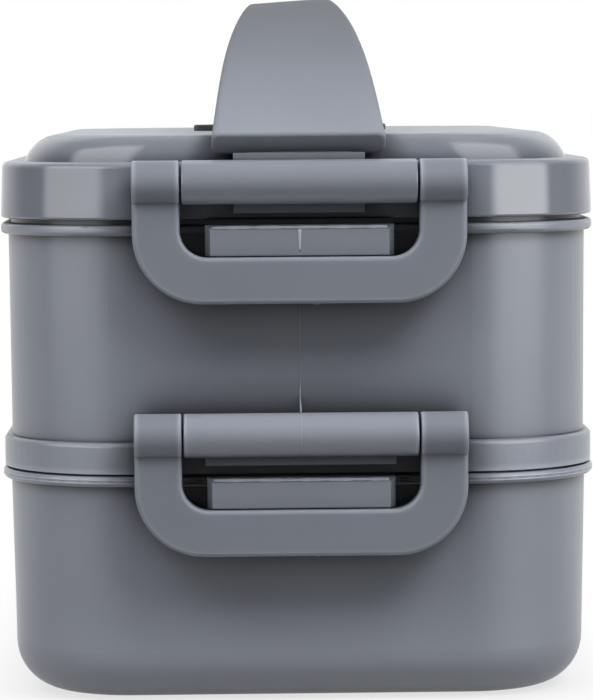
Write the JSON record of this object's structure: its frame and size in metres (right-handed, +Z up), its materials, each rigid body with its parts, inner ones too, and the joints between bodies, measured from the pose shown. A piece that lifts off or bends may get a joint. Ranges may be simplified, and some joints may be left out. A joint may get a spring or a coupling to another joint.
{
  "type": "bento lunch box",
  "caption": "Stacked-tier bento lunch box with a domed lid, swinging loop latches at both ends, seals, dividers, a steam vent and an arched carrying strap.",
  "frame": {"origin": "centre of the base on the table", "axes": "+Z up, +Y along the box from front to back, +X across it"},
  "size_m": [0.12, 0.2002, 0.1413],
  "materials": {
    "tier_plastic": "satin moulded polypropylene, cool grey",
    "lid_plastic": "smooth semi-gloss moulded polypropylene, cool grey",
    "strap_plastic": "fine matt moulded polypropylene, cool grey",
    "loop_plastic": "satin moulded plastic, cool grey",
    "seal": "translucent silicone",
    "vent_rubber": "matt dark silicone",
    "divider_plastic": "satin moulded plastic, cool grey",
    "pin_steel": "drawn wire"
  },
  "bodies": {
    "box": {"lower_tier": "tier_plastic", "upper_tier": "tier_plastic", "lid": "lid_plastic", "lid_seal": "seal", "tier_seal": "seal", "carrying_strap": "strap_plastic", "vent_button": "vent_rubber", "lower_divider": "divider_plastic", "upper_divider": "divider_plastic", "lid_latch_pin_front": "pin_steel", "lid_latch_pin_back": "pin_steel", "tier_latch_pin_front": "pin_steel", "tier_latch_pin_back": "pin_steel"},
    "lid_latch_front": {"lid_latch_loop_front": "loop_plastic"},
    "lid_latch_back": {"lid_latch_loop_back": "loop_plastic"},
    "tier_latch_front": {"tier_latch_loop_front": "loop_plastic"},
    "tier_latch_back": {"tier_latch_loop_back": "loop_plastic"},
    "vent": {"vent_flap": "vent_rubber"}
  },
  "joints": [
    {"name": "lid_latch_front_swing", "type": "hinge", "parent": "box", "child": "lid_latch_front", "pos_m": [0, -0.0958, 0.1033], "axis": [-1, 0, 0], "range_deg": [0, 160]},
    {"name": "lid_latch_back_swing", "type": "hinge", "parent": "box", "child": "lid_latch_back", "pos_m": [0, 0.0958, 0.1033], "axis": [1, 0, 0], "range_deg": [0, 160]},
    {"name": "tier_latch_front_swing", "type": "hinge", "parent": "box", "child": "tier_latch_front", "pos_m": [0, -0.0958, 0.0538], "axis": [-1, 0, 0], "range_deg": [0, 160]},
    {"name": "tier_latch_back_swing", "type": "hinge", "parent": "box", "child": "tier_latch_back", "pos_m": [0, 0.0958, 0.0538], "axis": [1, 0, 0], "range_deg": [0, 160]},
    {"name": "vent_lift", "type": "hinge", "parent": "box", "child": "vent", "pos_m": [-0.0096, 0, 0.1138], "axis": [0, -1, 0], "range_deg": [0, 45]}
  ]
}
